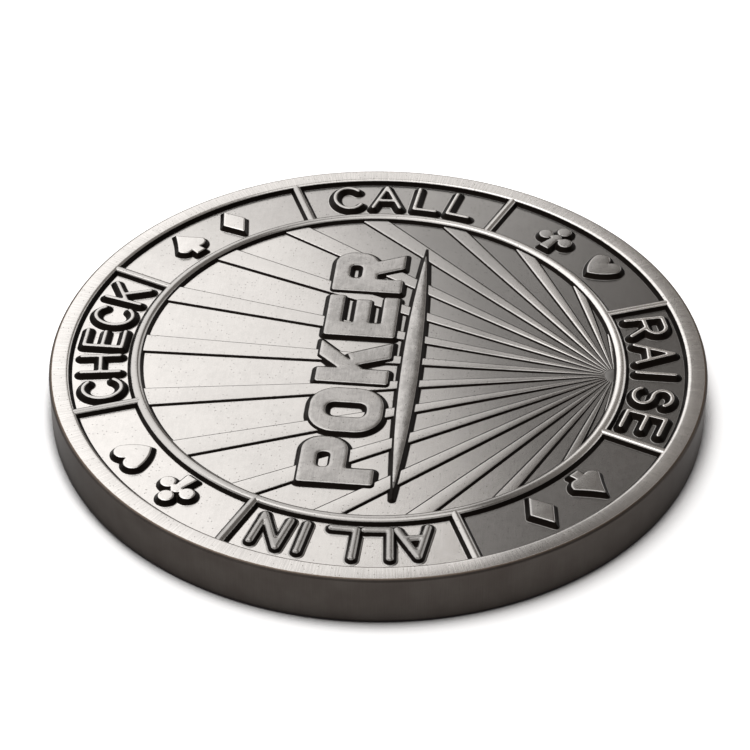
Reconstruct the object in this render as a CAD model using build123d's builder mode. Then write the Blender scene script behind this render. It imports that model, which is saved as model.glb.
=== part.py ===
from build123d import *

import os
from math import atan2, cos, degrees, radians, sin

# A round card-guard challenge coin, struck in relief on both faces.
# Millimetres, +Z up, origin under the centre of the lower face.
# +Y is the twelve o'clock of the upper face, and the lower face reads upright
# when the coin is turned over about the Y axis.

# Blank
diameter = 50.0
thickness = 4.0
edge_round = 0.3

# Relief heights above the sunk field, each side
rim_height = 0.42
relief_height = 0.40
title_height = 0.32
ray_height = 0.13

# Rim, inner ring and dividers: radii at the top of their drafted walls
rim_inner_radius = 23.57
ring_outer_radius = 18.80
ring_inner_radius = 18.17
wall_run = 0.14
divider_count = 8
divider_width = 0.52
divider_start_angle = 22.5

# Words and suits around the border, at clockwise angles from +Y. Each word has the angle of
# its middle, and each letter its own angle from there.
mark_radius = 21.1
letter_height = 2.9
letter_width = 1.95
letter_stroke = 0.50
words = {
    "check": (0, (("C", -17.1), ("H", -8.8), ("E", -0.2), ("C", 7.5), ("K", 15.9))),
    "call": (90, (("C", -12.5), ("A", -3.7), ("L", 5.8), ("L", 13.9))),
    "raise": (180, (("R", -15.6), ("A", -6.4), ("I", 0.2), ("S", 7.9), ("E", 16.5))),
    "all_in": (270, (("A", -12.7), ("L", -5.2), ("L", 1.6), ("I", 9.0), ("N", 15.4))),
}
spade_angles = (37.7, 218.5)
diamond_angles = (50.4, 231.1)
club_angles = (127.5, 307.4)
heart_angles = (141.5, 320.9)

heart_width = 2.9
heart_height = 2.75
diamond_width = 2.1
diamond_height = 3.3
spade_width = 2.8
spade_height = 3.15
club_lobe_radius = 0.61
club_lobe_spread = 0.98
club_lobe_drop = 0.1
club_height = 3.3
club_heart_radius = 0.46
stem_width = 0.62
stem_foot_width = 1.0

# Fan of raised rays, spreading from a half-round sun at six o'clock
fan_centre = (-0.25, -18.0)
fan_pitch_angle = 10.5
fan_middle_angle = 0.35
rays_each_side = 8
ray_spread_angle = 3.15
ray_start = 1.15
sun_radius = 0.95

# Title across the middle, and the swelled rule under it
title_text = "POKER"
title_letter_width = 5.2
title_letter_height = 5.6
title_pitch = 5.75
title_stem = 1.8
title_bar = 1.3
title_bowl_height = 3.5
title_corner = 0.22
title_base = -1.05
title_middle = -0.9
rule_half_length = 15.2
rule_middle = (-0.9, -2.55)
rule_rise = 0.72

outer_radius = diameter / 2
wall_angle = 90 - degrees(atan2(wall_run, relief_height))
blank_height = thickness - 2 * rim_height

faces = {
    "front": Plane(origin=(0, 0, thickness - rim_height), x_dir=(1, 0, 0), z_dir=(0, 0, 1)),
    "back": Plane(origin=(0, 0, rim_height), x_dir=(-1, 0, 0), z_dir=(0, 0, -1)),
}

# Strokes of each border letter, in a cell from (-0.5, -0.5) to (0.5, 0.5) that is stretched to
# the letter's width and height. Two points are a line. Six numbers are an arc of an ellipse:
# its centre, its two half-axes, the angle where it starts, and the angle that it spans.
letter_strokes = {
    "A": [((-0.56, -0.5), (0, 0.5)), ((0, 0.5), (0.56, -0.5)), ((-0.36, -0.16), (0.36, -0.16))],
    "C": [(0.06, 0, 0.6, 0.5, 42, 276)],
    "E": [((-0.5, -0.5), (-0.5, 0.5)), ((-0.5, 0.5), (0.5, 0.5)), ((-0.5, 0.02), (0.42, 0.02)),
          ((-0.5, -0.5), (0.5, -0.5))],
    "H": [((-0.5, -0.5), (-0.5, 0.5)), ((0.5, -0.5), (0.5, 0.5)), ((-0.5, 0), (0.5, 0))],
    "I": [((0, -0.5), (0, 0.5))],
    "K": [((-0.5, -0.5), (-0.5, 0.5)), ((-0.5, -0.1), (0.5, 0.5)), ((-0.14, 0.12), (0.5, -0.5))],
    "L": [((-0.5, 0.5), (-0.5, -0.5)), ((-0.5, -0.5), (0.4, -0.5))],
    "N": [((-0.5, -0.5), (-0.5, 0.5)), ((-0.5, 0.5), (0.5, -0.5)), ((0.5, -0.5), (0.5, 0.5))],
    "R": [((-0.5, -0.5), (-0.5, 0.5)), ((-0.5, 0.5), (0.08, 0.5)), ((-0.5, -0.02), (0.08, -0.02)),
          (0.08, 0.24, 0.4, 0.26, -90, 180), ((0.04, -0.02), (0.5, -0.5))],
    "S": [(0, 0.25, 0.46, 0.25, 20, 250), (0, -0.25, 0.46, 0.25, -160, 250)],
}


def polar(radius, angle):
    """Return the point of the face at a radius, with the angle counted from +X."""
    return (radius * cos(radians(angle)), radius * sin(radians(angle)))


def profile_plane(face):
    """Return the plane of a revolved profile: x is the radius and y the height over the field."""
    return Plane(origin=face.origin, x_dir=face.x_dir, z_dir=-face.y_dir)


def face_axis(face):
    """Return the coin's axis, pointing out of the face."""
    return Axis(face.origin, face.z_dir)


def border_seat(angle):
    """Return where a border mark sits and which way it leans, for a clockwise angle from +Y."""
    x, y = polar(mark_radius, 90 - angle)
    return Location((x, y, 0), (0, 0, -angle))


def stroke_line(stroke):
    """Return the middle line of one letter stroke, about the letter's centre."""
    if len(stroke) == 2:
        ends = [(x * letter_width, y * letter_height) for x, y in stroke]
        return Line(*ends, mode=Mode.PRIVATE)
    x, y, half_width, half_height, start, span = stroke
    return EllipticalCenterArc(
        (x * letter_width, y * letter_height),
        half_width * letter_width,
        half_height * letter_height,
        start,
        arc_size=span,
        mode=Mode.PRIVATE,
    )


def letter_outline(letter):
    """Return one border letter about the origin, as round-ended strokes."""
    with BuildSketch() as outline:
        for stroke in letter_strokes[letter]:
            line = stroke_line(stroke)
            trace(line, letter_stroke)
            with Locations(line @ 0, line @ 1):
                Circle(letter_stroke / 2)
    return outline.sketch


def draw_stem(top, bottom):
    """Draw the flared stem of a spade or a club."""
    Polygon(
        (-stem_width / 2, top),
        (-stem_foot_width / 2, bottom),
        (stem_foot_width / 2, bottom),
        (stem_width / 2, top),
        align=None,
    )


def heart_outline():
    """Return a heart about the origin, point down."""
    side, top = heart_width / 2, heart_height / 2
    notch, shoulder = 0.62 * top, 0.38 * top
    lobe = 0.55 * side
    belly = (0.66 * side, -0.34 * top)
    with BuildSketch() as heart:
        with BuildLine():
            ThreePointArc((0, notch), (lobe, top), (side, shoulder))
            ThreePointArc((side, shoulder), belly, (0, -top))
            ThreePointArc((0, -top), (-belly[0], belly[1]), (-side, shoulder))
            ThreePointArc((-side, shoulder), (-lobe, top), (0, notch))
        make_face()
    return heart.sketch


def diamond_outline():
    """Return a diamond about the origin."""
    side, top = diamond_width / 2, diamond_height / 2
    with BuildSketch() as diamond:
        Polygon((0, top), (side, 0), (0, -top), (-side, 0), align=None)
    return diamond.sketch


def spade_outline():
    """Return a spade about the origin, point up."""
    side, top = spade_width / 2, spade_height / 2
    hip, crotch = -0.18 * top, -0.36 * top
    flank = (0.42 * side, 0.45 * top)
    lobe = (0.72 * side, -0.58 * top)
    with BuildSketch() as spade:
        with BuildLine():
            ThreePointArc((0, top), flank, (side, hip))
            ThreePointArc((side, hip), lobe, (0, crotch))
            ThreePointArc((0, crotch), (-lobe[0], lobe[1]), (-side, hip))
            ThreePointArc((-side, hip), (-flank[0], flank[1]), (0, top))
        make_face()
        draw_stem(0, -top)
    return spade.sketch


def club_outline():
    """Return a club about the origin: three round lobes and a flared stem."""
    top = club_height / 2
    lobes = [
        (0, top - club_lobe_radius),
        (-club_lobe_spread, -club_lobe_drop),
        (club_lobe_spread, -club_lobe_drop),
    ]
    with BuildSketch() as club:
        with Locations(*lobes):
            Circle(club_lobe_radius)
        Circle(club_heart_radius)
        draw_stem(0, -top)
    return club.sketch


def draw_box(left, right, bottom, top, corner=title_corner, mode=Mode.ADD):
    """Draw a rectangle with round corners between its sides, or cut it out."""
    with Locations(((left + right) / 2, (bottom + top) / 2)):
        RectangleRounded(right - left, top - bottom, corner, mode=mode)


def draw_title_bowl(left, right, top):
    """Draw the upper bowl that P and R share, with its counter."""
    bottom = top - title_bowl_height
    counter_height = title_bowl_height - 2 * title_bar
    draw_box(left, right, bottom, top, 0.44 * title_bowl_height)
    draw_box(left, left + title_stem, bottom, top)
    draw_box(
        left + title_stem,
        right - title_stem,
        bottom + title_bar,
        top - title_bar,
        0.4 * counter_height,
        Mode.SUBTRACT,
    )


def draw_title_o(left, right, top):
    """Draw the round letter, with its counter."""
    counter_width = title_letter_width - 2 * title_stem
    draw_box(left, right, 0, top, 0.4 * title_letter_width)
    draw_box(
        left + title_stem,
        right - title_stem,
        title_bar,
        top - title_bar,
        0.4 * counter_width,
        Mode.SUBTRACT,
    )


def draw_title_e(left, right, top):
    """Draw the three bars of E, the middle one shorter."""
    middle = (top - title_bar) / 2
    short = right - title_stem / 4
    for bottom, reach in ((0, right), (middle, short), (top - title_bar, right)):
        draw_box(left, reach, bottom, bottom + title_bar)


def draw_title_k(left, right, top):
    """Draw the two arms of K, which meet on its stem."""
    inner = left + title_stem - title_corner
    waist = top / 2
    thick = title_stem * 1.1
    Polygon(
        (inner, waist - thick / 2),
        (inner, waist + thick / 2),
        (right - thick, top),
        (right, top),
        align=None,
    )
    Polygon(
        (inner + thick / 4, waist),
        (inner + thick, waist + thick / 3),
        (right, 0),
        (right - thick, 0),
        align=None,
    )


def draw_title_letter(letter):
    """Draw one heavy letter about the current location, standing on y = 0."""
    right = title_letter_width / 2
    left = -right
    top = title_letter_height
    if letter == "O":
        draw_title_o(left, right, top)
        return
    draw_box(left, left + title_stem, 0, top)
    if letter in "PR":
        draw_title_bowl(left, right, top)
    if letter == "R":
        leg_top = top - title_bowl_height + title_bar / 2
        leg = title_stem * 1.05
        hip = left + title_stem + title_corner
        Polygon((hip, leg_top), (hip + leg, leg_top), (right, 0), (right - leg, 0), align=None)
    if letter == "E":
        draw_title_e(left, right, top)
    if letter == "K":
        draw_title_k(left, right, top)


def build_rim(face):
    """Raised rim with a rounded outer edge and a drafted inner wall."""
    with BuildPart() as rim:
        with BuildSketch(profile_plane(face)) as profile:
            with BuildLine():
                Polyline(
                    (rim_inner_radius - wall_run, 0),
                    (outer_radius, 0),
                    (outer_radius, rim_height),
                    (rim_inner_radius, rim_height),
                    close=True,
                )
            make_face()
            top_corners = profile.vertices().group_by(Axis(face.origin, face.z_dir))[-1]
            outer_corner = top_corners.sort_by_distance(face.origin)[-1]
            fillet(outer_corner, edge_round)
        revolve(axis=face_axis(face))
    return rim


def build_inner_ring(face):
    """Narrow raised ring between the border and the middle, drafted on both sides."""
    with BuildPart() as ring:
        with BuildSketch(profile_plane(face)):
            with BuildLine():
                Polyline(
                    (ring_inner_radius - wall_run, 0),
                    (ring_outer_radius + wall_run, 0),
                    (ring_outer_radius, relief_height),
                    (ring_inner_radius, relief_height),
                    close=True,
                )
            make_face()
        revolve(axis=face_axis(face))
    return ring


def build_dividers(face, rim, ring):
    """Straight bars that part the border into eight sectors, cut to meet the ring and the rim."""
    ring_middle = (ring_outer_radius + ring_inner_radius) / 2
    rim_middle = (rim_inner_radius + outer_radius) / 2
    with BuildPart() as dividers:
        for index in range(divider_count):
            angle = divider_start_angle + index * 360 / divider_count
            outward = face.x_dir * cos(radians(angle)) + face.y_dir * sin(radians(angle))
            across = outward.cross(face.z_dir)
            end_plane = Plane(
                origin=face.origin + outward * ring_middle,
                x_dir=across,
                z_dir=across.cross(face.z_dir),
            )
            reach = (rim_middle - ring_middle) * (1 if end_plane.z_dir.dot(outward) > 0 else -1)
            with BuildSketch(end_plane):
                Trapezoid(
                    divider_width + 2 * wall_run,
                    relief_height,
                    wall_angle,
                    align=(Align.CENTER, Align.MIN),
                )
            extrude(amount=reach)
        add(rim.part, mode=Mode.SUBTRACT)
        add(ring.part, mode=Mode.SUBTRACT)
    return dividers


def build_word(face, middle_angle, letters):
    """One border word, each letter a solid of its own."""
    with BuildPart() as word:
        for letter, angle in letters:
            with BuildSketch(face * border_seat(middle_angle + angle)):
                add(letter_outline(letter))
            extrude(amount=relief_height)
    return word


def build_suits(face, outline, angles):
    """Two border suits of one kind."""
    with BuildPart() as suits:
        for angle in angles:
            with BuildSketch(face * border_seat(angle)):
                add(outline)
            extrude(amount=relief_height)
    return suits


def build_sun(face, ring):
    """Low half-round boss where the rays begin, cut to meet the inner ring."""
    with BuildPart() as sun:
        with BuildSketch(face):
            with Locations(fan_centre):
                Circle(sun_radius)
            Circle(ring_inner_radius, mode=Mode.INTERSECT)
        extrude(amount=ray_height)
        add(ring.part, mode=Mode.SUBTRACT)
    return sun


def build_title(face):
    """Heavy word across the middle, each letter a solid of its own."""
    first = title_middle - (len(title_text) - 1) / 2 * title_pitch
    with BuildPart() as title:
        for index, letter in enumerate(title_text):
            with BuildSketch(face * Location((first + index * title_pitch, title_base, 0))):
                draw_title_letter(letter)
            extrude(amount=title_height)
    return title


def build_title_rule(face):
    """Swelled rule under the title, pointed at both ends."""
    x, y = rule_middle
    left = (x - rule_half_length, y)
    right = (x + rule_half_length, y)
    with BuildPart() as rule:
        with BuildSketch(face):
            with BuildLine():
                ThreePointArc(left, (x, y + rule_rise), right)
                ThreePointArc(right, (x, y - rule_rise), left)
            make_face()
        extrude(amount=title_height)
    return rule


def draw_ray(lean):
    """Draw one ray from the sun to beyond the inner ring, leaning clockwise from +Y."""
    reach = 2 * ring_outer_radius
    left = radians(lean - ray_spread_angle / 2)
    right = radians(lean + ray_spread_angle / 2)
    x, y = fan_centre
    Polygon(
        (x + ray_start * sin(left), y + ray_start * cos(left)),
        (x + reach * sin(left), y + reach * cos(left)),
        (x + reach * sin(right), y + reach * cos(right)),
        (x + ray_start * sin(right), y + ray_start * cos(right)),
        align=None,
    )


def build_rays(face, cutters):
    """Low tapering rays from the sun to the inner ring, cut around what stands on them."""
    with BuildPart() as rays:
        with BuildSketch(face):
            for index in range(-rays_each_side, rays_each_side + 1):
                draw_ray(fan_middle_angle + index * fan_pitch_angle)
            Circle(ring_inner_radius, mode=Mode.INTERSECT)
        extrude(amount=ray_height)
        for cutter in cutters:
            add(cutter.part, mode=Mode.SUBTRACT)
    return rays


def write_node(builder, name):
    """Label a finished piece and write its STEP file."""
    builder.part.label = name
    export_step(builder.part, f"parts/{name}.step")


os.makedirs("parts", exist_ok=True)

with BuildPart() as coin_body:
    with BuildSketch(Plane.XY.offset(rim_height)):
        Circle(outer_radius)
    extrude(amount=blank_height)
write_node(coin_body, "coin_body")

suit_sets = {
    "spades": (spade_outline(), spade_angles),
    "diamonds": (diamond_outline(), diamond_angles),
    "clubs": (club_outline(), club_angles),
    "hearts": (heart_outline(), heart_angles),
}

for side, face in faces.items():
    rim = build_rim(face)
    ring = build_inner_ring(face)
    title = build_title(face)
    rule = build_title_rule(face)
    sun = build_sun(face, ring)
    write_node(rim, f"{side}_rim")
    write_node(ring, f"{side}_inner_ring")
    write_node(build_dividers(face, rim, ring), f"{side}_dividers")
    for name, (middle_angle, letters) in words.items():
        write_node(build_word(face, middle_angle, letters), f"{side}_word_{name}")
    for name, (outline, angles) in suit_sets.items():
        write_node(build_suits(face, outline, angles), f"{side}_{name}")
    write_node(title, f"{side}_title")
    write_node(rule, f"{side}_title_rule")
    write_node(sun, f"{side}_sun")
    write_node(build_rays(face, [ring, title, rule, sun]), f"{side}_rays")
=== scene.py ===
import math

import bmesh
import bpy
import numpy as np
from mathutils import Matrix, Quaternion, Vector
from mathutils.geometry import delaunay_2d_cdt


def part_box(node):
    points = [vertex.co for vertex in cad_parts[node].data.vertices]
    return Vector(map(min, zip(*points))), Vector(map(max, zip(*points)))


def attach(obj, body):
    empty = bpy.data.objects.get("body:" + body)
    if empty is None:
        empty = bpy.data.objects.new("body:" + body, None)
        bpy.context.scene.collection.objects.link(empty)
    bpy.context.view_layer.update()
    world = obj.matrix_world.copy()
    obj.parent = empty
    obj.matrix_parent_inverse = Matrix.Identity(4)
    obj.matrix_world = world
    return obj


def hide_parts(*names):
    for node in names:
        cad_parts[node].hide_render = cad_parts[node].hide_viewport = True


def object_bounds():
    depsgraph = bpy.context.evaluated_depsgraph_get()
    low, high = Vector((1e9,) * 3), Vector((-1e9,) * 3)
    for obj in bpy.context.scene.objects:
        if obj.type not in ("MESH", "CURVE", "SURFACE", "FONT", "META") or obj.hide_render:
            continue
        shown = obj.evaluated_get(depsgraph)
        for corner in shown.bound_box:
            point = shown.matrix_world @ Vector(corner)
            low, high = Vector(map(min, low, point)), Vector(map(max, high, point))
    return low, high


# The looks of a struck challenge coin in antique nickel. Every raised feature is a closed shell
# grown from the outline of its CAD node: a drafted wall, a rounded shoulder, a crowned top and a
# small root fillet. Lengths below are in millimetres, and meshes are made in metres.

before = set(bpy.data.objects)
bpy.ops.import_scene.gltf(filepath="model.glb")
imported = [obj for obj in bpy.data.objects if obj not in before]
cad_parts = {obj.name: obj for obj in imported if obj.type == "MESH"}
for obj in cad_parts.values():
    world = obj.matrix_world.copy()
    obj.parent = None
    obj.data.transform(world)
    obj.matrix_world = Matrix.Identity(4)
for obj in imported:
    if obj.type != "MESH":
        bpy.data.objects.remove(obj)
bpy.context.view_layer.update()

MM = 0.001
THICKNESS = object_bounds()[1].z / MM
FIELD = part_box("coin_body")[1].z / MM
EDGE_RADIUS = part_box("coin_body")[1].y / MM
EDGE_START = EDGE_RADIUS - 0.24  # where the edge's dark colour begins, on the rim's rounding; that colour is painted shade
RING_FOOT = (18.4, 18.6)  # the middle's darker tone, partly thin patina and partly painted shade, ends between these radii, under the inner ring
NEAR_BAR = -2.76  # the direction of the bar between ALL IN and the darker border, whose tone is partly patina and partly painted shade, in radians

# Cross-sections of the relief, from the field up to the crown. Each pair is the distance out
# from the wall's middle, in mm, and the share of the feature's height.
STRUCK = (
    (0.37, -0.012), (0.34, 0.002), (0.31, 0.016), (0.27, 0.05), (0.23, 0.10), (0.18, 0.20),
    (0.12, 0.36), (0.06, 0.54), (0.0, 0.71), (-0.04, 0.81), (-0.08, 0.89), (-0.115, 0.945),
    (-0.145, 0.975), (-0.18, 0.99), (-0.22, 0.998), (-0.25, 1.0),
)
SHARP = (
    (0.35, -0.012), (0.32, 0.003), (0.29, 0.02), (0.25, 0.07), (0.20, 0.17), (0.14, 0.34),
    (0.08, 0.55), (0.03, 0.73), (-0.01, 0.85), (-0.04, 0.915), (-0.07, 0.955), (-0.10, 0.98),
    (-0.14, 0.995), (-0.19, 1.0),
)
BAR = (
    (0.28, -0.012), (0.24, 0.003), (0.20, 0.03), (0.16, 0.09), (0.11, 0.22), (0.06, 0.40),
    (0.01, 0.59), (-0.03, 0.71), (-0.07, 0.81), (-0.11, 0.88), (-0.15, 0.93), (-0.20, 0.965),
    (-0.25, 0.988), (-0.30, 1.0),
)
ROUNDED = (
    (0.27, -0.012), (0.23, 0.003), (0.19, 0.04), (0.15, 0.12), (0.10, 0.27), (0.05, 0.43),
    (0.01, 0.55), (-0.03, 0.66), (-0.07, 0.755), (-0.11, 0.835), (-0.16, 0.91), (-0.21, 0.955),
    (-0.26, 0.985), (-0.31, 1.0),
)
SHOULDERED = (
    (0.28, -0.012), (0.24, 0.003), (0.20, 0.03), (0.16, 0.10), (0.11, 0.26), (0.06, 0.47),
    (0.02, 0.63), (-0.02, 0.76), (-0.06, 0.85), (-0.10, 0.91), (-0.14, 0.95), (-0.18, 0.975),
    (-0.22, 0.99), (-0.28, 1.0),
)
HEAVY = (
    (0.37, -0.012), (0.34, 0.002), (0.31, 0.02), (0.27, 0.06), (0.22, 0.14), (0.17, 0.27),
    (0.11, 0.45), (0.05, 0.63), (0.0, 0.77), (-0.04, 0.86), (-0.08, 0.915), (-0.12, 0.95),
    (-0.18, 0.975), (-0.26, 0.993), (-0.34, 1.0),
)
CROWNED = (
    (0.37, -0.012), (0.34, 0.002), (0.31, 0.02), (0.27, 0.06), (0.22, 0.14), (0.17, 0.27),
    (0.11, 0.44), (0.05, 0.60), (0.0, 0.71), (-0.05, 0.79), (-0.12, 0.845), (-0.22, 0.90),
    (-0.35, 0.945), (-0.52, 0.98), (-0.75, 1.0),
)
RAY = (
    (0.20, -0.05), (0.17, 0.0), (0.14, 0.07), (0.10, 0.24), (0.06, 0.50), (0.03, 0.72),
    (0.0, 0.88), (-0.02, 0.945), (-0.045, 0.985), (-0.08, 1.0),
)
MOUND = (
    (0.1, -0.04), (0.03, 0.2), (-0.05, 0.42), (-0.15, 0.62), (-0.28, 0.79),
    (-0.42, 0.9), (-0.58, 0.97), (-0.74, 1.0),
)
ROOT_DEPTH = 0.06  # how far a feature's shell runs down into the blank
LEVEL = 0.001  # heights closer than this are one level
FINE_CELL = 0.04  # the grid that small marks are grown on
TITLE_CELL = 0.05  # and the grid for the title
MERGE_GAP = 1e-6  # contour points nearer than this are one point
SLIVER_DEPTH = 0.001  # a region inside a contour lies deeper than this on average
WELD_GAP = 0.0015  # shell points nearer than this are one point
SHORTEST_EDGE = 0.0005  # an edge shorter than this is taken out


# ---------------------------------------------------------------- outlines from the CAD nodes

def welded(name):
    """Return a CAD node's points in mm with shared corners merged, and its triangles."""
    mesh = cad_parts[name].data
    mesh.calc_loop_triangles()
    points = np.array([vertex.co for vertex in mesh.vertices]) / MM
    triangles = np.array([triangle.vertices for triangle in mesh.loop_triangles])
    places, index = np.unique(np.round(points, 4), axis=0, return_inverse=True)
    return places, index.reshape(-1)[triangles]


def edges_of(triangles):
    """Return the triangles' edges as pairs of points, and how many triangles have each."""
    edges = np.concatenate([triangles[:, [0, 1]], triangles[:, [1, 2]], triangles[:, [2, 0]]])
    return np.unique(np.sort(edges, axis=1), axis=0, return_counts=True)


def top_outlines(name):
    """Return the outline segments of each separate flat top of an upper-face node, in mm."""
    points, triangles = welded(name)
    top = points[:, 2].max()
    flat = triangles[(points[triangles][:, :, 2] > top - LEVEL).all(axis=1)]
    edges, uses = edges_of(flat)
    island = list(range(len(points)))

    def island_of(point):
        while island[point] != point:
            point = island[point]
        return point

    for start, end in edges:
        island[island_of(start)] = island_of(end)
    outlines = {}
    for start, end in edges[uses == 1]:
        outlines.setdefault(island_of(start), []).append(points[[start, end], :2])
    return [np.array(outline) for outline in outlines.values()]


def lathe_radii(name):
    """Return the inner and outer radius of a turned node at the middle of its drafted walls."""
    points, _ = welded(name)
    radius = np.hypot(points[:, 0], points[:, 1])
    heights = points[:, 2]
    levels = [radius[np.isclose(heights, z, atol=LEVEL)] for z in (heights.min(), heights.max())]
    inner = sum(level.min() for level in levels) / 2
    outer = sum(level.max() for level in levels) / 2
    return inner, outer


def ring_middle():
    """Return the radius of the inner ring's middle line, where bars, rays and sun end."""
    return sum(lathe_radii("front_inner_ring")) / 2


# ---------------------------------------------------------------- relief shells

def distance_field(segments, x, y):
    """Return the signed distance from each grid point to an outline, negative inside it."""
    grid = np.stack(np.meshgrid(x, y, indexing="ij"), axis=-1).reshape(-1, 1, 2)
    start, along = segments[:, 0], segments[:, 1] - segments[:, 0]
    share = ((grid - start) * along).sum(-1) / (along ** 2).sum(-1)
    gap = grid - start - np.clip(share, 0, 1)[..., None] * along
    distance = np.sqrt((gap ** 2).sum(-1).min(axis=1))
    px, py = grid[..., 0], grid[..., 1]
    crosses = (segments[:, 0, 1] > py) != (segments[:, 1, 1] > py)
    rise = np.where(along[:, 1] == 0, 1, along[:, 1])
    meets = start[:, 0] + (py - start[:, 1]) * along[:, 0] / rise
    inside = (crosses & (px < meets)).sum(axis=1) % 2 == 1
    return np.where(inside, -distance, distance).reshape(len(x), len(y))


def soften(field, passes):
    """Round the creases of a distance field, which rounds the corners of its outlines."""
    for _ in range(passes):
        for axis in (0, 1):
            padded = np.pad(field, [(1, 1) if axis == a else (0, 0) for a in (0, 1)], mode="edge")
            before = np.take(padded, range(0, field.shape[axis]), axis)
            after = np.take(padded, range(2, field.shape[axis] + 2), axis)
            field = (before + 2 * field + after) / 4
    return field


def contour(field, level, x, y):
    """Return where a field meets a level on the grid's lines, and the segments that join them."""
    above = field > level
    cut_x = above[:-1, :] != above[1:, :]
    cut_y = above[:, :-1] != above[:, 1:]
    id_x = np.full(cut_x.shape, -1)
    id_y = np.full(cut_y.shape, -1)
    id_x[cut_x] = np.arange(cut_x.sum())
    id_y[cut_y] = np.arange(cut_y.sum()) + cut_x.sum()
    i, j = np.nonzero(cut_x)
    share = (level - field[i, j]) / (field[i + 1, j] - field[i, j])
    on_x = np.stack([x[i] + share * (x[i + 1] - x[i]), y[j]], axis=1)
    i, j = np.nonzero(cut_y)
    share = (level - field[i, j]) / (field[i, j + 1] - field[i, j])
    on_y = np.stack([x[i], y[j] + share * (y[j + 1] - y[j])], axis=1)
    around = np.stack([id_x[:, :-1], id_y[:-1, :], id_x[:, 1:], id_y[1:, :]], axis=-1).reshape(-1, 4)
    met = (around >= 0).sum(axis=1)
    pairs = -np.sort(-around[met == 2], axis=1)[:, :2]
    saddles = around[met == 4]
    segments = np.concatenate([pairs, saddles[:, :2], saddles[:, 2:]])
    return np.concatenate([on_x, on_y]), segments


def sample(field, points, x, y):
    """Return a field's value between its grid points."""
    u = np.clip((points[:, 0] - x[0]) / (x[1] - x[0]), 0, len(x) - 1.001)
    v = np.clip((points[:, 1] - y[0]) / (y[1] - y[0]), 0, len(y) - 1.001)
    i, j = u.astype(int), v.astype(int)
    u, v = u - i, v - j
    return ((1 - u) * (1 - v) * field[i, j] + u * (1 - v) * field[i + 1, j]
            + (1 - u) * v * field[i, j + 1] + u * v * field[i + 1, j + 1])


def neighbours_of(triangles, barriers):
    """Return each triangle's neighbours across the edges that aren't barriers."""
    sides = {}
    for index, (a, b, c) in enumerate(triangles.tolist()):
        for edge in ((a, b), (b, c), (c, a)):
            sides.setdefault(tuple(sorted(edge)), []).append(index)
    neighbours = [[] for _ in triangles]
    for edge, pair in sides.items():
        if edge not in barriers and len(pair) == 2:
            neighbours[pair[0]].append(pair[1])
            neighbours[pair[1]].append(pair[0])
    return neighbours


def regions_of(neighbours):
    """Return the number of the region that each triangle is in."""
    region = np.full(len(neighbours), -1)
    count = 0
    for seed in range(len(neighbours)):
        if region[seed] < 0:
            region[seed] = count
            waiting = [seed]
            while waiting:
                for following in neighbours[waiting.pop()]:
                    if region[following] < 0:
                        region[following] = count
                        waiting.append(following)
            count += 1
    return region


def fill(field, points, segments, outer_count, x, y, outer):
    """Return the triangles inside the outermost contours, which are the first segments.

    Whole regions are kept or dropped, so that no sliver along a contour opens the shell."""
    made = delaunay_2d_cdt([Vector(p) for p in points], segments.tolist(), [], 0, MERGE_GAP, False)
    places = np.array(made[0])
    triangles = np.array(made[2])
    barriers = {
        tuple(sorted(edge)) for edge, origins in zip(made[1], made[4])
        if any(origin < outer_count for origin in origins)
    }
    region = regions_of(neighbours_of(triangles, barriers))
    corners = places[triangles]
    along, across = corners[:, 1] - corners[:, 0], corners[:, 2] - corners[:, 0]
    area = np.abs(along[:, 0] * across[:, 1] - along[:, 1] * across[:, 0])
    depth = sample(field, corners.mean(axis=1), x, y) - outer
    mean_depth = np.bincount(region, area * depth) / np.maximum(np.bincount(region, area), 1e-12)
    return places, triangles[mean_depth[region] < -SLIVER_DEPTH]


def relief_shell(segments, profile, height, cell, passes, grow=0.0):
    """Return a closed relief over one outline: its points in mm, faces, and depth per point."""
    margin = profile[0][0] + grow + 4 * cell
    low = segments.reshape(-1, 2).min(axis=0) - margin
    high = segments.reshape(-1, 2).max(axis=0) + margin
    x = np.arange(low[0], high[0] + cell, cell)
    y = np.arange(low[1], high[1] + cell, cell)
    field = soften(distance_field(segments, x, y), passes) - grow
    levels, shares = np.array(profile).T
    points, joins = [], []
    count = 0
    for level in levels:
        spots, links = contour(field, level, x, y)
        points.append(spots)
        joins.append(links + count)
        count += len(spots)
    outer = levels[0]
    places, triangles = fill(
        field, np.concatenate(points), np.concatenate(joins), len(joins[0]), x, y, outer)
    depth = sample(field, places, x, y)
    rise = np.interp(depth, levels[::-1], shares[::-1]) * height
    top = np.column_stack([places, FIELD + rise])
    edges, uses = edges_of(triangles)
    rim = edges[uses == 1]
    kept, index = np.unique(rim, return_inverse=True)
    floor_places, floor_triangles = fill(
        field, places[kept], index.reshape(-1, 2), len(rim), x, y, outer)
    under = np.column_stack([floor_places, np.full(len(floor_places), FIELD - ROOT_DEPTH)])
    lower = np.column_stack([places[rim.ravel()], np.full(rim.size, FIELD - ROOT_DEPTH)])
    wall = np.concatenate([top[rim.ravel()], lower])
    steps = 2 * np.arange(len(rim))
    quads = np.stack([steps, steps + 1, steps + 1 + 2 * len(rim), steps + 2 * len(rim)], axis=1)
    faces = triangles.tolist() + (floor_triangles + len(top)).tolist()
    faces += (quads + len(top) + len(under)).tolist()
    depths = np.concatenate([depth, np.full(len(under) + len(wall), outer)])
    return np.concatenate([top, under, wall]), faces, depths


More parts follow.
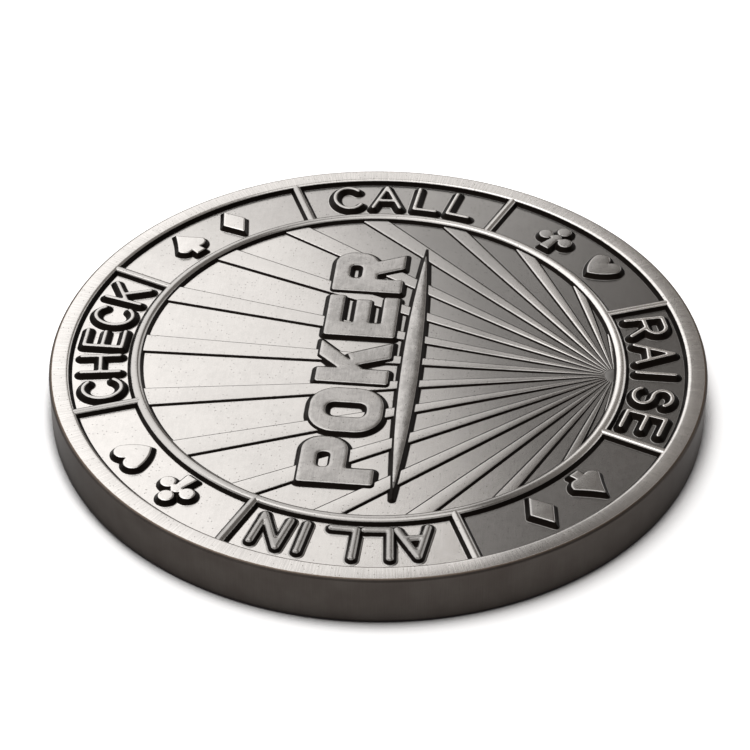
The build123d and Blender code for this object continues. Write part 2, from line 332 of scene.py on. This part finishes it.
def lathe_shell(profile, turns=720):
    """Return a closed ring turned from (radius, z, depth) points round the coin's axis."""
    radius, z, depth = np.array(profile).T
    angle = np.arange(turns) * 2 * math.pi / turns
    points = np.stack([
        np.outer(np.cos(angle), radius),
        np.outer(np.sin(angle), radius),
        np.tile(z, (turns, 1)),
    ], axis=-1).reshape(-1, 3)
    step = len(radius)
    faces = []
    for turn in range(turns):
        here, there = turn * step, (turn + 1) % turns * step
        for k in range(step):
            following = (k + 1) % step
            faces.append((here + k, there + k, there + following, here + following))
    return points, faces, np.tile(depth, turns)


def swept_faces(corners, stations):
    """Return the faces of a closed section swept through stations, with its two end caps."""
    faces = [list(range(corners)), [k + corners * (stations - 1) for k in range(corners)]]
    for station in range(stations - 1):
        here = station * corners
        for k in range(corners):
            after = (k + 1) % corners
            faces.append([here + k, here + after, here + corners + after, here + corners + k])
    return faces


def joined(shells):
    """Return several shells as one set of points, faces and depths."""
    points, faces, depths = [], [], []
    count = 0
    for places, sides, depth in shells:
        points.append(places)
        depths.append(depth)
        faces += [[corner + count for corner in side] for side in sides]
        count += len(places)
    return np.concatenate(points), faces, np.concatenate(depths)


def make_mesh(name, shell):
    """Return a mesh from a shell, with its merged points, outward faces and depth attribute."""
    points, faces, depth = shell
    mesh = bpy.data.meshes.new(name)
    mesh.from_pydata((points * MM).tolist(), [], faces)
    mesh.attributes.new("depth", "FLOAT", "POINT").data.foreach_set("value", depth.astype(np.float32))
    form = bmesh.new()
    form.from_mesh(mesh)
    bmesh.ops.remove_doubles(form, verts=form.verts, dist=WELD_GAP * MM)
    bmesh.ops.dissolve_degenerate(form, edges=form.edges, dist=SHORTEST_EDGE * MM)
    bmesh.ops.recalc_face_normals(form, faces=form.faces)
    form.to_mesh(mesh)
    form.free()
    mesh.shade_smooth()
    mesh.set_sharp_from_angle(angle=math.radians(55))
    return mesh


def add_piece(name, mesh, material, cad_node):
    """Add a piece that stands for a CAD node."""
    mesh.materials.append(material)
    piece = bpy.data.objects.new(name, mesh)
    bpy.context.scene.collection.objects.link(piece)
    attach(piece, "root")
    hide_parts(cad_node)


TURN_OVER = (
    Matrix.Translation((0, 0, THICKNESS * MM / 2))
    @ Matrix.Rotation(math.pi, 4, "Y")
    @ Matrix.Translation((0, 0, -THICKNESS * MM / 2))
)


def add_both_sides(name, shell, material):
    """Add a feature to the upper face and its twin, turned over, to the lower; return their meshes."""
    front = make_mesh(f"relief_{name}", shell)
    back = front.copy()
    back.transform(TURN_OVER)
    add_piece(f"upper_{name}", front, material, f"front_{name}")
    add_piece(f"lower_{name}", back, material, f"back_{name}")
    return front, back


# ---------------------------------------------------------------- materials

def node(tree, kind, inputs=None, **settings):
    """Add a shader node, with its settings, and its inputs set or linked."""
    made = tree.nodes.new("ShaderNode" + kind)
    for key, value in settings.items():
        setattr(made, key, value)
    for key, value in (inputs or {}).items():
        if isinstance(value, bpy.types.NodeSocket):
            tree.links.new(value, made.inputs[key])
        else:
            made.inputs[key].default_value = value
    return made


def math_node(tree, operation, *values):
    """Return the result of a math node."""
    return node(tree, "Math", dict(enumerate(values)), operation=operation).outputs[0]


def ramp(tree, value, low, high, start=0.0, end=1.0):
    """Return a value eased from start to end as the input goes from low to high."""
    inputs = {"Value": value, "From Min": low, "From Max": high, "To Min": start, "To Max": end}
    return node(tree, "MapRange", inputs, interpolation_type="SMOOTHSTEP").outputs[0]


def noise(tree, coords, scale, detail=2.0, roughness=0.5):
    """Return a noise value around 0.5. The scale is in features per unit of the coordinates."""
    inputs = {"Vector": coords, "Scale": scale, "Detail": detail, "Roughness": roughness}
    return node(tree, "TexNoise", inputs).outputs["Fac"]


def blend_colour(tree, share, first, second):
    """Return a colour between two, by a share."""
    mix = node(tree, "Mix", {0: share}, data_type="RGBA")
    for socket, value in ((mix.inputs[6], first), (mix.inputs[7], second)):
        if isinstance(value, bpy.types.NodeSocket):
            tree.links.new(value, socket)
        else:
            socket.default_value = (*value, 1)
    return mix.outputs[2]


def places_of(tree, coords):
    """Return the x and y of a point and its distance from the coin's axis, in mm."""
    split = node(tree, "SeparateXYZ", {0: coords})
    x, y = split.outputs[0], split.outputs[1]
    flat = node(tree, "CombineXYZ", {0: x, 1: y}).outputs[0]
    return x, y, node(tree, "VectorMath", {0: flat}, operation="LENGTH").outputs["Value"]


def polar_coords(tree, coords, around, across):
    """Return coordinates that run round the coin's axis, for marks that lie across its edge."""
    x, y, radius = places_of(tree, coords)
    flat = node(tree, "CombineXYZ", {0: x, 1: y}).outputs[0]
    heading = node(tree, "VectorMath", {0: flat}, operation="NORMALIZE").outputs[0]
    wound = node(tree, "VectorMath", {0: heading, "Scale": around}, operation="SCALE").outputs[0]
    reach = math_node(tree, "ADD", radius, node(tree, "SeparateXYZ", {0: coords}).outputs[2])
    lift = node(tree, "CombineXYZ", {2: math_node(tree, "MULTIPLY", reach, across)}).outputs[0]
    return node(tree, "VectorMath", {0: wound, 1: lift}, operation="ADD").outputs[0]


def new_material(name):
    """Return an empty metal material, its shader and coordinates in mm."""
    material = bpy.data.materials.new(name)
    material.use_nodes = True
    tree = material.node_tree
    shader = tree.nodes["Principled BSDF"]
    shader.inputs["Metallic"].default_value = 1.0
    place = node(tree, "TexCoord").outputs["Object"]
    coords = node(tree, "VectorMath", {0: place, "Scale": 1 / MM}, operation="SCALE").outputs[0]
    return material, tree, shader, coords


def pits(tree, coords, scale, share, size):
    """Return a mask of sparse round pits: 1 in a pit."""
    cells = node(tree, "TexVoronoi", {"Vector": coords, "Scale": scale}, voronoi_dimensions="2D")
    chosen = node(tree, "SeparateColor", {0: cells.outputs["Color"]}).outputs[0]
    near = ramp(tree, cells.outputs["Distance"], size, size * 0.4)
    return math_node(tree, "MULTIPLY", near, math_node(tree, "LESS_THAN", chosen, share))


def middle_wash_and_painted_shade(tree, coords, dark):
    """Return the tone over the middle, darker towards the sun and CALL: partly a thin patina and partly
    painted shade.
    """
    x, y, radius = places_of(tree, coords)
    lean = math_node(tree, "MULTIPLY_ADD", x, -0.4, y)
    middle = ramp(tree, lean, -12, 7, dark, 0.95)
    return math_node(tree, "MAXIMUM", middle, ramp(tree, radius, *RING_FOOT))


def ray_wash_shade_and_highlight(tree, coords):
    """The tone on the rays: the middle's patina and painted shade, lighter near the sun on CALL's side,
    which is a painted highlight.
    """
    x, y, _ = places_of(tree, coords)
    inward, side = ramp(tree, y, -15, -5, 0.95, 0.5), ramp(tree, x, -4, 2, 0.5, 1.0)
    by_sun = math_node(tree, "MULTIPLY", inward, side)
    return math_node(tree, "MAXIMUM", middle_wash_and_painted_shade(tree, coords, 0.56), by_sun)


def field_wash_and_painted_shade(tree, coords):
    """The tone on the sunk fields, partly thin patina and partly painted shade: the middle, and a darker
    border from CALL round past RAISE.
    """
    x, y, radius = places_of(tree, coords)
    heading = math_node(tree, "ARCTAN2", y, x)
    border = ramp(tree, heading, -0.9, 1.7, 0.36, 1.0)
    border = math_node(tree, "MAXIMUM", border, ramp(tree, heading, NEAR_BAR + 0.01, NEAR_BAR - 0.01))
    border = math_node(tree, "MAXIMUM", border, ramp(tree, radius, *RING_FOOT[::-1]))
    return math_node(tree, "MULTIPLY", middle_wash_and_painted_shade(tree, coords, 0.36), border)


def corner_wash_and_painted_shade(tree, coords, dark):
    """Return a darker tone between ALL IN and RAISE, partly thin patina and partly painted shade."""
    x, y, _ = places_of(tree, coords)
    heading = math_node(tree, "ARCTAN2", y, x)
    by_all_in = ramp(tree, heading, -2.80, -2.60, 1.0, dark)
    by_raise = ramp(tree, heading, -2.44, -2.0, dark, 1.0)
    return math_node(tree, "MAXIMUM", by_all_in, by_raise)


def rim_wash_and_painted_shade(tree, coords):
    """The rim's tone: darker between ALL IN and RAISE, partly thin patina and partly painted shade."""
    return corner_wash_and_painted_shade(tree, coords, 0.66)


def relief_wash_and_painted_shade(tree, coords):
    """The tone on the border's relief, darker by CHECK, ALL IN and CALL: partly thin patina and partly
    painted shade.
    """
    x, y, _ = places_of(tree, coords)
    by_all_in, by_call = ramp(tree, x, -18, -13, 0.72, 1.0), ramp(tree, x, 10, 17, 1.0, 0.8)
    ends = math_node(tree, "MULTIPLY", by_all_in, by_call)
    by_check = ramp(tree, y, -6, 14, 1.0, 0.66)
    sides = math_node(tree, "MULTIPLY", by_check, ends)
    return math_node(tree, "MULTIPLY", sides, corner_wash_and_painted_shade(tree, coords, 0.55))


def suit_wash_and_painted_shade(tree, coords):
    """The tone on the suits, darker by RAISE: partly thin patina and partly painted shade."""
    _, y, _ = places_of(tree, coords)
    return ramp(tree, y, -9, 5, 0.56, 0.95)


def ray_wear_and_painted_highlight(tree, coords):
    """How far the patina is worn back from the rays' tops, in mm, most by the sun: partly a painted
    highlight, as the bared metal stands in for bright lines on the rays.
    """
    x, y, _ = places_of(tree, coords)
    return ramp(tree, math_node(tree, "SUBTRACT", x, y), 1, 12, 0.0, 0.06)


BLACK = (0, 0, 0)
PATINA = (0.008, 0.0062, 0.0052)
PIT_COLOUR = (0.06, 0.05, 0.045)
# The edge's dark colours are painted shade for the dark surroundings that it mirrors.
EDGE_PAINTED_SHADE = ((0.046, 0.039, 0.035), (0.058, 0.051, 0.046))
# A brown on the rim's rounding: partly its own tone, partly painted light that lifts the rounding's dark
# reflection.
CORNER_BROWN_AND_PAINTED_LIGHT = (0.12, 0.092, 0.072)


def struck_metal(name, tone, dull, grain, patina_span, mottle, brushed=0.0, wash_and_shade=None, wear_and_highlight=None):
    """Antique nickel: satin metal with grain, pits and stains, and black patina in its walls.

    tone is the clean metal's colour, dull its roughness, grain the depth of its bump in mm,
    patina_span the depths where the patina starts and stops, mottle how far stains darken the
    metal, and brushed the depth of the marks that lie across the coin's edge, in grains. The
    last two arguments make the tone on the feature's top, partly a thin patina and partly painted
    shade, and how far the patina is worn back from it, partly a painted highlight. A feature's
    foot always has the fields' tone, partly patina and partly painted shade."""
    material, tree, shader, coords = new_material(name)
    broad = noise(tree, coords, 0.35, 3)
    cloud = noise(tree, coords, 1.9, 4, 0.6)
    fine = noise(tree, coords, 12, 3, 0.65)
    combed = node(tree, "Mapping", {"Vector": coords, "Rotation": (0, 0, 0.5), "Scale": (0.7, 8, 1)})
    streaks = noise(tree, combed.outputs[0], 1.0, 3)
    crowd = ramp(tree, noise(tree, coords, 0.5, 2), 0.35, 0.65, 0.04, 0.30)
    pitted = pits(tree, coords, 2.8, crowd, 0.15)

    shade = math_node(tree, "MULTIPLY_ADD", cloud, 0.4, math_node(tree, "MULTIPLY", broad, 0.4))
    shade = math_node(tree, "MULTIPLY_ADD", streaks, 0.2, shade)
    clean = blend_colour(tree, ramp(tree, shade, 0.38, 0.60), [c * (1 - mottle) for c in tone], tone)
    speckled = blend_colour(tree, math_node(tree, "MULTIPLY", pitted, 0.65), clean, PIT_COLOUR)
    depth = node(tree, "Attribute", attribute_name="depth").outputs["Fac"]
    # The tone of the feature's top and of its foot darkens the metal towards black: partly thin patina,
    # partly painted shade.
    washed_and_shaded = node(tree, "Mix", {0: ramp(tree, depth, 0.15, 0.2), 2: 1.0, 3: field_wash_and_painted_shade(tree, coords)})
    if wash_and_shade:
        tree.links.new(wash_and_shade(tree, coords), washed_and_shaded.inputs[2])
    speckled = blend_colour(tree, washed_and_shaded.outputs[0], BLACK, speckled)

    ragged = math_node(tree, "MULTIPLY_ADD", noise(tree, coords, 6, 3), 0.04, -0.02)
    edge = math_node(tree, "ADD", depth, ragged)
    start, stop = patina_span
    # Wearing the patina back from the top is partly a painted highlight.
    reach = math_node(tree, "SUBTRACT", edge, wear_and_highlight(tree, coords)) if wear_and_highlight else edge
    shadowed = ramp(tree, reach, start - 0.025, start + 0.02)
    skirt = ramp(tree, edge, stop + 0.05, stop - 0.015)
    patina = math_node(tree, "MULTIPLY", shadowed, skirt)
    colour = blend_colour(tree, patina, speckled, PATINA)
    rough = math_node(tree, "MULTIPLY_ADD", cloud, 0.06, dull - 0.03)
    rough = math_node(tree, "MULTIPLY_ADD", patina, 0.3, rough)

    height = math_node(tree, "SUBTRACT", fine, math_node(tree, "MULTIPLY", pitted, 1.5))
    height = math_node(tree, "MULTIPLY_ADD", streaks, 0.5, height)
    if brushed:
        marks = noise(tree, polar_coords(tree, coords, 240, 0.35), 1.0, 3, 0.7)
        height = math_node(tree, "MULTIPLY_ADD", marks, brushed, height)
        worn = ramp(tree, marks, 0.38, 0.64, 0.87, 1.0)
        colour = blend_colour(tree, worn, BLACK, colour)
    bump = node(tree, "Bump", {"Height": height, "Distance": grain * MM, "Strength": 1.0})
    tree.links.new(colour, shader.inputs["Base Color"])
    tree.links.new(rough, shader.inputs["Roughness"])
    tree.links.new(bump.outputs[0], shader.inputs["Normal"])
    return material


def dark_edge(name, tone):
    """The coin's edge: dark brown-black with fine upright marks, which is painted shade for the
    dark surroundings it mirrors, a brown band on the rim's rounding that is partly painted light,
    and clean metal on the rim's top.
    """
    material, tree, shader, coords = new_material(name)
    _, _, radius = places_of(tree, coords)
    marks = noise(tree, polar_coords(tree, coords, 420, 0.35), 1.0, 3, 0.7)
    cloud = noise(tree, coords, 0.5, 4)
    worn = math_node(tree, "MULTIPLY_ADD", marks, 0.4, math_node(tree, "MULTIPLY", cloud, 0.6))
    # The dark colour is painted shade for the dark surroundings that the edge mirrors.
    edge_shade = blend_colour(tree, ramp(tree, worn, 0.3, 0.7), *EDGE_PAINTED_SHADE)
    ragged = math_node(tree, "MULTIPLY_ADD", noise(tree, coords, 5, 3), 0.05, -0.025)
    reach = math_node(tree, "ADD", radius, ragged)
    # A lighter brown band on the rim's rounding: partly brown tone, partly painted light.
    past_corner = ramp(tree, reach, EDGE_START + 0.03, EDGE_START + 0.16)
    corner = blend_colour(tree, past_corner, CORNER_BROWN_AND_PAINTED_LIGHT, edge_shade)
    dark = ramp(tree, reach, EDGE_START - 0.02, EDGE_START + 0.03)
    colour = blend_colour(tree, dark, tone, corner)
    rough = node(tree, "Mix", {0: dark, 2: 0.2, 3: 0.4}).outputs[0]
    shader.inputs["Specular Tint"].default_value = (0.55, 0.55, 0.55, 1)
    bump = node(tree, "Bump", {"Height": marks, "Distance": 0.0012 * MM, "Strength": 1.0})
    tree.links.new(colour, shader.inputs["Base Color"])
    tree.links.new(rough, shader.inputs["Roughness"])
    tree.links.new(bump.outputs[0], shader.inputs["Normal"])
    return material


# ---------------------------------------------------------------- the coin's pieces

def wall_points(radius, side, profile, height):
    """Return one wall of a turned feature as (radius, z, depth) points, from its root up."""
    return [(radius + side * out, FIELD + share * height, out) for out, share in profile]


def paint_edge(mesh, material, is_edge):
    """Give the coin's edge its own material, on the faces that a test picks out."""
    mesh.materials.append(material)
    for face in mesh.polygons:
        if is_edge(face):
            face.material_index = 1


def build_body(field_material, edge_material):
    """The blank: two flat fields, and the plain edge between the rims."""
    rings = np.linspace(0, EDGE_RADIUS, 11)
    low = THICKNESS - FIELD
    deep = 1.0  # a depth beyond all patina
    profile = [(r, FIELD, deep) for r in rings] + [(r, low, deep) for r in rings[::-1]]
    mesh = make_mesh("blank", lathe_shell(profile))
    add_piece("blank", mesh, field_material, "coin_body")
    paint_edge(mesh, edge_material, lambda face: abs(face.normal.z) < 0.5)


def build_rim(material, edge_material):
    """The rim: an inner wall, a broad worn shoulder, a flat top and a round outer edge."""
    inner, _ = lathe_radii("front_rim")
    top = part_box("front_rim")[1].z / MM
    flat = max(math.hypot(p[0], p[1]) for p in welded("front_rim")[0] if p[2] > top - LEVEL)
    worn_back = 0.03
    rounding = EDGE_RADIUS - flat - worn_back
    profile = wall_points(inner, -1, SHOULDERED, top - FIELD)
    clear = -0.5  # a depth without patina
    for angle in np.linspace(0, math.pi / 2, 15):
        z = top - rounding + rounding * math.cos(angle)
        profile.append((EDGE_RADIUS - rounding + rounding * math.sin(angle), z, clear))
    profile.append((EDGE_RADIUS, FIELD, clear))
    profile.append((EDGE_RADIUS - 0.1, FIELD - ROOT_DEPTH, clear))
    profile.append((profile[0][0], FIELD - ROOT_DEPTH, profile[0][2]))
    for mesh in add_both_sides("rim", lathe_shell(profile), material):
        paint_edge(mesh, edge_material, lambda face: math.hypot(*face.center[:2]) > flat * MM)


def build_ring(material):
    """The narrow ring between the border and the middle, with a crowned top."""
    inner, outer = lathe_radii("front_inner_ring")
    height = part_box("front_inner_ring")[1].z / MM - FIELD
    profile = wall_points(inner, -1, ROUNDED, height) + wall_points(outer, 1, ROUNDED, height)[::-1]
    profile.append((outer + ROUNDED[0][0], FIELD - ROOT_DEPTH, ROUNDED[0][0]))
    profile.append((inner - ROUNDED[0][0], FIELD - ROOT_DEPTH, ROUNDED[0][0]))
    add_both_sides("inner_ring", lathe_shell(profile), material)


def build_dividers(material):
    """Eight straight bars. Each runs into the ring and the rim, a hair lower than their tops."""
    _, ring_outer = lathe_radii("front_inner_ring")
    rim_inner, _ = lathe_radii("front_rim")
    into_rim = 0.45
    drop = 0.004
    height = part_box("front_dividers")[1].z / MM - FIELD - drop
    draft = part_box("front_inner_ring")[1].x / MM - ring_outer
    stations = np.linspace(ring_middle(), rim_inner + into_rim, 12)
    shells = []
    for outline in top_outlines("front_dividers"):
        middle = outline.reshape(-1, 2).mean(axis=0)
        outward = middle / np.hypot(*middle)
        across = np.array([-outward[1], outward[0]])
        half = np.abs(outline.reshape(-1, 2) @ across).max() + draft
        section = [(-half - out, share * height, out) for out, share in BAR]
        section += [(half + out, share * height, out) for out, share in BAR[::-1]]
        section += [(half + BAR[0][0], -ROOT_DEPTH, BAR[0][0])]
        section += [(-half - BAR[0][0], -ROOT_DEPTH, BAR[0][0])]
        points = [(*(outward * r + across * a), FIELD + z) for r in stations for a, z, _ in section]
        depths = np.tile([out for _, _, out in section], len(stations))
        shells.append((np.array(points), swept_faces(len(section), len(stations)), depths))
    add_both_sides("dividers", joined(shells), material)


def build_marks(name, profile, material, cell, passes):
    """A word, a set of suits, the title or its rule: one shell over each outline of the node."""
    cad_node = f"front_{name}"
    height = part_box(cad_node)[1].z / MM - FIELD
    outlines = top_outlines(cad_node)
    shells = [relief_shell(outline, profile, height, cell, passes) for outline in outlines]
    add_both_sides(name, joined(shells), material)


def sun_circle():
    """Return the centre and radius of the boss where the rays begin."""
    low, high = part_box("front_sun")
    radius = (high.x - low.x) / 2 / MM
    return np.array([(high.x + low.x) / 2 / MM, high.y / MM - radius]), radius


def ray_angles(centre):
    """Return the directions of the rays' sides from the sun's centre, in order, in radians."""
    off_line, shortest_side, same_angle = 0.004, 0.4, 0.004
    sides = []
    for outline in top_outlines("front_rays"):
        along = outline[:, 1] - outline[:, 0]
        length = np.hypot(*along.T)
        arm = outline[:, 0] - centre
        off = np.abs(arm[:, 0] * along[:, 1] - arm[:, 1] * along[:, 0]) / np.maximum(length, 1e-6)
        radial = (off < off_line) & (length > shortest_side)
        far = np.where(
            (np.hypot(*arm.T) > np.hypot(*(outline[:, 1] - centre).T))[:, None],
            outline[:, 0], outline[:, 1],
        ) - centre
        sides += list(np.arctan2(far[radial, 1], far[radial, 0]))
    sides = np.sort(sides)
    starts = np.concatenate([[True], np.diff(sides) > same_angle])
    return [group.mean() for group in np.split(sides, np.nonzero(starts)[0][1:])]


def reach_to(centre, angle, radius):
    """Return how far it is from a point to a circle about the coin's axis, in a direction."""
    heading = np.array([math.cos(angle), math.sin(angle)])
    along = float(centre @ heading)
    return -along + math.sqrt(along ** 2 - float(centre @ centre) + radius ** 2)


def ray_shell(centre, right, left, start, end_radius, height):
    """Return one tapering ray, whose walls are narrower near the sun, where it is thin itself."""
    full_walls = 6.0
    sides = []
    for angle, sign in ((right, -1), (left, 1)):
        heading = np.array([math.cos(angle), math.sin(angle)])
        outward = sign * np.array([-heading[1], heading[0]])
        sides.append((heading, outward, reach_to(centre, angle, end_radius)))
    section = [(0, out, share * height, out) for out, share in RAY]
    section += [(1, out, share * height, out) for out, share in RAY[::-1]]
    section += [(1, RAY[0][0], -ROOT_DEPTH, RAY[0][0]), (0, RAY[0][0], -ROOT_DEPTH, RAY[0][0])]
    shares = np.linspace(0, 1, 24) ** 1.6  # stations along the ray, closer together near the sun
    points = []
    for share in shares:
        for side, out, z, _ in section:
            heading, outward, reach = sides[side]
            distance = start + share * (reach - start)
            narrowing = min(1.0, distance / full_walls)
            place = centre + heading * distance + outward * out * narrowing
            points.append((*place, FIELD + z * math.sqrt(narrowing)))
    depths = np.tile([out for _, _, _, out in section], len(shares))
    return np.array(points), swept_faces(len(section), len(shares)), depths


def build_rays(material):
    """The fan: tapering rays from the sun out to under the inner ring."""
    centre, sun_radius = sun_circle()
    start = 0.8 * sun_radius
    end_radius = ring_middle() + 0.05
    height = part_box("front_rays")[1].z / MM - FIELD
    sides = ray_angles(centre)
    shells = [
        ray_shell(centre, right, left, start, end_radius, height)
        for right, left in zip(sides[0::2], sides[1::2])
    ]
    add_both_sides("rays", joined(shells), material)


def build_sun(material):
    """The low mound that the rays spread from, which runs under the inner ring."""
    centre, radius = sun_circle()
    height = 0.4 * (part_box("front_sun")[1].z / MM - FIELD)
    angle = np.linspace(0, 2 * math.pi, 97)
    circle = centre + radius * np.stack([np.cos(angle), np.sin(angle)], axis=1)
    circle *= np.minimum(1, ring_middle() / np.hypot(*circle.T))[:, None]
    outline = np.stack([circle[:-1], circle[1:]], axis=1)
    points, faces, depth = relief_shell(outline, MOUND, height, FINE_CELL, 2, -0.2)
    clear_of_patina = depth - 1
    add_both_sides("sun", (points, faces, clear_of_patina), material)


# ---------------------------------------------------------------- build

NICKEL = (0.60, 0.580, 0.560)
field_metal = struck_metal(
    "field_metal", [c * 0.98 for c in NICKEL], 0.22, 0.0018, (0.5, 0.6), 0.07)
rim_metal = struck_metal("rim_metal", NICKEL, 0.19, 0.0012, (-0.03, 0.22), 0.06, 1.6, rim_wash_and_painted_shade)
bar_metal = struck_metal("bar_metal", NICKEL, 0.20, 0.0012, (-0.03, 0.21), 0.06, wash_and_shade=relief_wash_and_painted_shade)
# The letters' tone, 1.15 times the nickel, is a lighter copy of it: a painted highlight on their tops.
letter_metal = struck_metal(
    "letter_metal", [c * 1.15 for c in NICKEL], 0.20, 0.0012, (-0.12, 0.28), 0.06, wash_and_shade=relief_wash_and_painted_shade)
suit_metal = struck_metal("suit_metal", NICKEL, 0.20, 0.0012, (-0.04, 0.27), 0.08, wash_and_shade=suit_wash_and_painted_shade)
stained_metal = struck_metal("stained_metal", [c * 0.5 for c in NICKEL], 0.26, 0.0016, (0.02, 0.21), 0.15)
title_metal = struck_metal("title_metal", [c * 0.66 for c in NICKEL], 0.26, 0.0018, (-0.05, 0.30), 0.25)
ray_metal = struck_metal(
    "ray_metal", [c * 0.96 for c in NICKEL], 0.22, 0.0016, (-0.02, 0.175), 0.07,
    wash_and_shade=ray_wash_shade_and_highlight, wear_and_highlight=ray_wear_and_painted_highlight)
# The sun's tone, 0.3 times the nickel, is painted shade: it keeps the mound as dark as the middle round
# it and hides its reflections.
sun_metal = struck_metal("sun_metal", [c * 0.3 for c in NICKEL], 0.34, 0.0016, (0.5, 0.6), 0.1)
edge_metal = dark_edge("edge_metal", NICKEL)

build_body(field_metal, edge_metal)
build_rim(rim_metal, edge_metal)
build_ring(bar_metal)
build_dividers(bar_metal)
for word in ("word_check", "word_call", "word_raise"):
    build_marks(word, STRUCK, letter_metal, FINE_CELL, 3)
for suit in ("spades", "diamonds", "clubs", "hearts"):
    build_marks(suit, SHARP, suit_metal, FINE_CELL, 2)
build_marks("word_all_in", STRUCK, stained_metal, FINE_CELL, 3)
build_marks("title", HEAVY, title_metal, TITLE_CELL, 3)
build_marks("title_rule", CROWNED, title_metal, TITLE_CELL, 2)
build_sun(sun_metal)
build_rays(ray_metal)

# ---------------------------------------------------------------- floor, light and camera

def add_floor():
    """A white floor under the coin, with a painted contact shadow: its colour darkens and its glow fades
    where the coin closes it in.
    """
    mesh = bpy.data.meshes.new("floor")
    half = 3.0
    corners = [(-half, -half, 0), (half, -half, 0), (half, half, 0), (-half, half, 0)]
    mesh.from_pydata(corners, [], [(0, 1, 2, 3)])
    material = bpy.data.materials.new("floor_white")
    material.use_nodes = True
    tree = material.node_tree
    shader = tree.nodes["Principled BSDF"]
    shader.inputs["Roughness"].default_value = 0.9
    shader.inputs["Specular IOR Level"].default_value = 0.1
    # A painted contact shadow: the floor's colour goes dark and its glow fades where the coin closes it
    # in.
    openness = node(tree, "AmbientOcclusion", {"Distance": 2.2 * MM}, samples=8).outputs["AO"]
    painted_contact_shadow, white = (0.06, 0.055, 0.06), (0.9, 0.9, 0.905)
    colour = blend_colour(tree, ramp(tree, openness, 0.46, 0.66), painted_contact_shadow, white)
    tree.links.new(colour, shader.inputs["Base Color"])
    tree.links.new(ramp(tree, openness, 0.45, 0.95, 0.0, 0.45), shader.inputs["Emission Strength"])
    shader.inputs["Emission Color"].default_value = (1, 1, 1, 1)
    mesh.materials.append(material)
    floor = bpy.data.objects.new("floor", mesh)
    bpy.context.scene.collection.objects.link(floor)


def aim(thing, azimuth, elevation, distance, roll, target_height=0.0):
    """Put a light or camera round the coin, facing a height on its axis.

    Angles are in degrees, azimuth anticlockwise from +X, and lengths in metres."""
    turn, rise = math.radians(azimuth), math.radians(elevation)
    away = Vector((math.cos(turn) * math.cos(rise), math.sin(turn) * math.cos(rise), math.sin(rise)))
    thing.location = away * distance + Vector((0, 0, target_height))
    thing.rotation_mode = "QUATERNION"
    thing.rotation_quaternion = away.to_track_quat("Z", "Y") @ Quaternion((0, 0, 1), math.radians(roll))
    bpy.context.scene.collection.objects.link(thing)


def add_panel(name, azimuth, elevation, distance, size, roll, radiance):
    """A soft panel facing the coin."""
    light = bpy.data.lights.new(name, "AREA")
    light.shape = "RECTANGLE"
    light.size, light.size_y = size
    light.energy = radiance * math.pi * size[0] * size[1]
    aim(bpy.data.objects.new(name, light), azimuth, elevation, distance, roll)


def add_camera():
    """The camera, low over the near edge, looking across the coin towards +X."""
    camera_data = bpy.data.cameras.new("camera")
    camera_data.lens = 119.25
    camera_data.sensor_width = 36
    camera_data.shift_x = -0.00455
    camera_data.shift_y = -0.02767
    camera_data.clip_start = 0.01
    camera = bpy.data.objects.new("camera", camera_data)
    aim(camera, 185.49, 38.283, 0.18935, 0.279, THICKNESS * MM)
    bpy.context.scene.camera = camera


def add_world(level):
    """An even grey surround."""
    world = bpy.data.worlds.new("studio")
    world.use_nodes = True
    background = world.node_tree.nodes["Background"]
    background.inputs["Color"].default_value = (1, 0.93, 0.87, 1)
    background.inputs["Strength"].default_value = level
    bpy.context.scene.world = world


add_floor()
add_world(0.3)
# The big panel's near-right border crosses the far side of the sky, so the coin's left half
# mirrors the panel and its right half the grey surround. The low panels light the other sides.
add_panel("side_panel", 51.2, 35.6, 1.2, (1.68, 1.9), -52.8, 1.12)
add_panel("far_side_panel", 64.6, 41.2, 1.2, (1.68, 1.9), -47.2, 0.43)
add_panel("top_panel", 120, 84, 1.2, (1.1, 1.1), 0, 1.3)
add_panel("back_panel", 185, 42, 1.2, (1.6, 0.8), 0, 0.5)
add_panel("left_panel", 135, 25, 1.2, (1.3, 0.55), 0, 0.75)
add_panel("low_panel", -48, 15, 1.2, (1.5, 0.6), 0, 0.85)
add_camera()
bpy.context.scene.view_settings.view_transform = "Standard"
